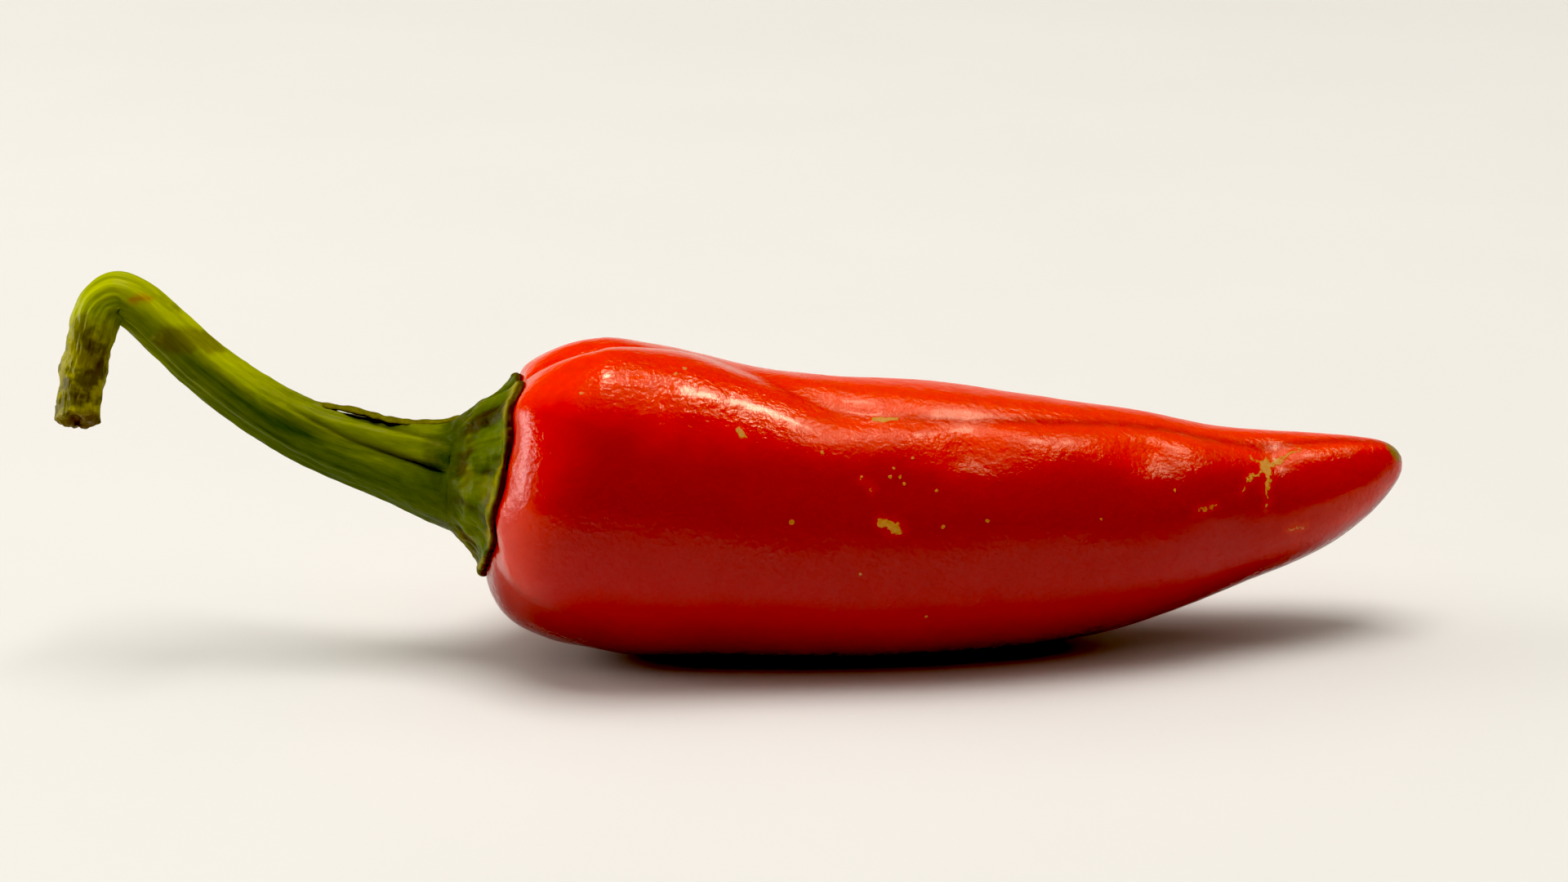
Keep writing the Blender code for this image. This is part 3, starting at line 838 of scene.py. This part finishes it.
# The outer face has a rib to each tooth and uneven folds, and is smooth at the neck and below
CAP_RIB_HEIGHT, CAP_RIB_WIDTH = 0.00012, 0.35
FOLD_HEIGHT = 0.00024
PIMPLE_HEIGHT, PIMPLE_SIZE = 0.00007, 0.0009
FACE_RISE, UNDER_FADE = 0.35, 0.05  # shares of the face and of the underside that they fade over
face = np.clip(outer / FACE_RISE, 0, 1) * (1 - np.clip(under / UNDER_FADE, 0, 1))
ribs = hump(np.sin(SEPALS / 2 * angle + 0.4) / CAP_RIB_WIDTH)
folds = cloud(round_way * 3 + np.outer(outer, (0.6, 0.3, 1.3)), 0.8, 17, 3)
pimples = cloud(points, PIMPLE_SIZE, 4, 3)
fine = face * (CAP_RIB_HEIGHT * ribs + FOLD_HEIGHT * folds + PIMPLE_HEIGHT * pimples)
points = points + normals * fine[:, None]
move_to(calyx_shell, points)
calyx = piece_object("calyx_cap", calyx_shell)
# For the material: 0 at the neck, 1 where the rim starts to turn under, and more beyond
out_and_under = outer + rim_turn / 20 + under
keep_on(calyx, "rim_place", "FLOAT_VECTOR", round_way + np.outer(out_and_under, (0, 0, 1)))
keep_on(calyx, "fold_height", "FLOAT", folds * 0.5 + 0.5)

CAP_GREENS = colour(0.024, 0.040, 0.0008), colour(0.14, 0.18, 0.002)
CAP_YELLOW = colour(0.26, 0.22, 0.004)
FOLD_HOLLOW_SHADE = colour(0.045, 0.025, 0.002)
RIM_YELLOW = colour(0.36, 0.28, 0.006)
RIM_BROWN = colour(0.05, 0.014, 0.003)
CAP_GRAIN_HEIGHT = 0.00016

calyx_finish, calyx_shader, wire = finish("green_cap", {"IOR": 1.45, "Subsurface Weight": 0.05})
place = wire.node("ShaderNodeTexCoord", {}, {}, "Object")
rim = wire.node("ShaderNodeAttribute", {"attribute_name": "rim_place"}, {}, "Vector")
radial = wire.vectors("MULTIPLY", rim, (1.0, 1.0, 0.35))
veins = radial.noise(0.16, 4.0, 0.6)
cloudy = place.noise(0.0025, 3.0, 0.55)
out_way = rim.part("Z")
folds = wire.node("ShaderNodeAttribute", {"attribute_name": "fold_height"}, {}, "Fac")
# Painted light and shade from the folds: lighter on their crests and darker in their hollows
green = (veins * 0.9 + folds * 0.9 - 0.4).tint(*CAP_GREENS)
green = (cloudy.step(0.5, 0.7) * 0.45).tint(green, CAP_YELLOW)
# Painted shade: the low parts of the folds are darkened
fold_hollow_shade = (1 - folds + (cloudy - 0.5) * 0.6).step(0.45, 0.8) * 0.8
green = fold_hollow_shade.tint(green, FOLD_HOLLOW_SHADE)
green = (out_way.step(0.86, 0.97) * cloudy.step(0.42, 0.6) * 0.7).tint(green, RIM_YELLOW)
green = (out_way.step(1.015, 1.075) * 0.85).tint(green, RIM_BROWN)
near_neck = 1 - (out_way + (cloudy - 0.5) * 0.5).step(0.10, 0.45)
green = near_neck.tint(green, neck_green(place))
grain = (veins * 0.6 + cloudy * 0.4).bump(CAP_GRAIN_HEIGHT)
feed(calyx_shader, {"Base Color": green, "Roughness": veins * 0.25 + 0.42, "Normal": grain})
calyx.data.materials.append(calyx_finish)
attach(calyx, "root")
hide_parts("calyx")

# Table: a plain pale surface, larger than the view and matte, that the pepper lies on. It takes
# the soft shadow and throws pale light back up at the underside.

TABLE_HALF_WIDTH = 2.0
TABLE_TONES = colour(0.80, 0.785, 0.75), colour(0.84, 0.825, 0.79)
floor_shell = bmesh.new()
bmesh.ops.create_grid(floor_shell, x_segments=1, y_segments=1, size=TABLE_HALF_WIDTH)
floor = piece_object("table", floor_shell)
floor_finish, floor_shader, wire = finish(
    "pale_table", {"IOR": 1.4, "Roughness": 0.6, "Specular IOR Level": 0.15}
)
place = wire.node("ShaderNodeTexCoord", {}, {}, "Object")
feed(floor_shader, {"Base Color": place.noise(0.05, 3.0, 0.5).tint(*TABLE_TONES)})
floor.data.materials.append(floor_finish)
floor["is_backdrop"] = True

# Studio: plain tones with deep blacks, light panels overhead, a pale room that is bright only
# behind the fruit, and the camera.

BLACK_LEVEL = 0.036
scene = bpy.context.scene
scene.view_settings.view_transform = "Standard"
scene.view_settings.use_curve_mapping = True
tone = scene.view_settings.curve_mapping
tone.black_level = (BLACK_LEVEL,) * 3
tone.update()

FRUIT_MIDDLE = Vector((0, 0, 0.012))


def softbox(name, lean, turn, distance, size, radiance, tint):
    """A light panel aimed at the fruit from distance away, size (across, deep), set back from
    overhead by lean and to the right by turn, in degrees."""
    data = bpy.data.lights.new(name, "AREA")
    data.shape = "RECTANGLE"
    data.size, data.size_y = size
    data.energy = radiance * math.pi * size[0] * size[1]
    data.color = tint
    lamp = bpy.data.objects.new(name, data)
    lean, turn = math.radians(lean), math.radians(turn)
    way = Vector((math.sin(turn), math.sin(lean) * math.cos(turn), math.cos(lean) * math.cos(turn)))
    lamp.location = FRUIT_MIDDLE + way * distance
    lamp.rotation_euler = (-way).to_track_quat("-Z", "Y").to_euler()
    scene.collection.objects.link(lamp)
    return lamp


# The key gives the shade and the shadow and the ceiling fills it in; the gleams show only as
# reflections in the skin
DAYLIGHT = (1, 0.985, 0.955)
CLEAR = (1, 0.995, 0.985)
WARM = (1, 0.955, 0.87)
GLEAM = (1, 0.82, 0.56)
softbox("key_softbox", 1, -2, 1.4, (0.85, 0.85), 5.85, CLEAR).visible_glossy = False
softbox("pale_ceiling", 2, -8, 1.5, (3.0, 3.0), 0.62, WARM).visible_glossy = False
softbox("side_window", 20, -72, 1.0, (0.5, 0.5), 5.0, DAYLIGHT)
softbox("left_gleam", 19, 0, 1.4, (0.18, 0.10), 60, GLEAM).visible_diffuse = False
softbox("right_gleam", 18, 20, 1.4, (0.13, 0.13), 60, GLEAM).visible_diffuse = False

room = bpy.data.worlds.new("pale_room")
room.use_nodes = True
wire = Wire(room.node_tree)
way = wire.node("ShaderNodeTexCoord", {}, {}, "Generated")
front = (way.part("Y") * -1 + way.part("X") * 0.15).step(0.0, 0.7)
high_up = way.part("Z").step(0.12, 0.5)
dim = wire.maths("MAXIMUM", front, high_up)
ROOM_TONES = colour(0.74, 0.695, 0.59), colour(0.065, 0.06, 0.055)
light = dim.tint(*ROOM_TONES)
room.node_tree.links.new(light.socket, room.node_tree.nodes["Background"].inputs["Color"])
scene.world = room

LENS_MM, SENSOR_MM = 85, 36
CAMERA_TARGET = Vector((0.00326, 0.0002, 0.0169))
CAMERA_DISTANCE = 0.283
CAMERA_ELEVATION = math.radians(16)
FARTHEST_SEEN = 10
camera_data = bpy.data.cameras.new("camera")
camera_data.lens = LENS_MM
camera_data.sensor_width = SENSOR_MM
camera_data.clip_end = FARTHEST_SEEN
camera = bpy.data.objects.new("camera", camera_data)
camera_way = Vector((0, -math.cos(CAMERA_ELEVATION), math.sin(CAMERA_ELEVATION)))
camera.location = CAMERA_TARGET + CAMERA_DISTANCE * camera_way
camera.rotation_euler = (math.radians(90) - CAMERA_ELEVATION, 0, 0)
scene.collection.objects.link(camera)
scene.camera = camera

low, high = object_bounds()
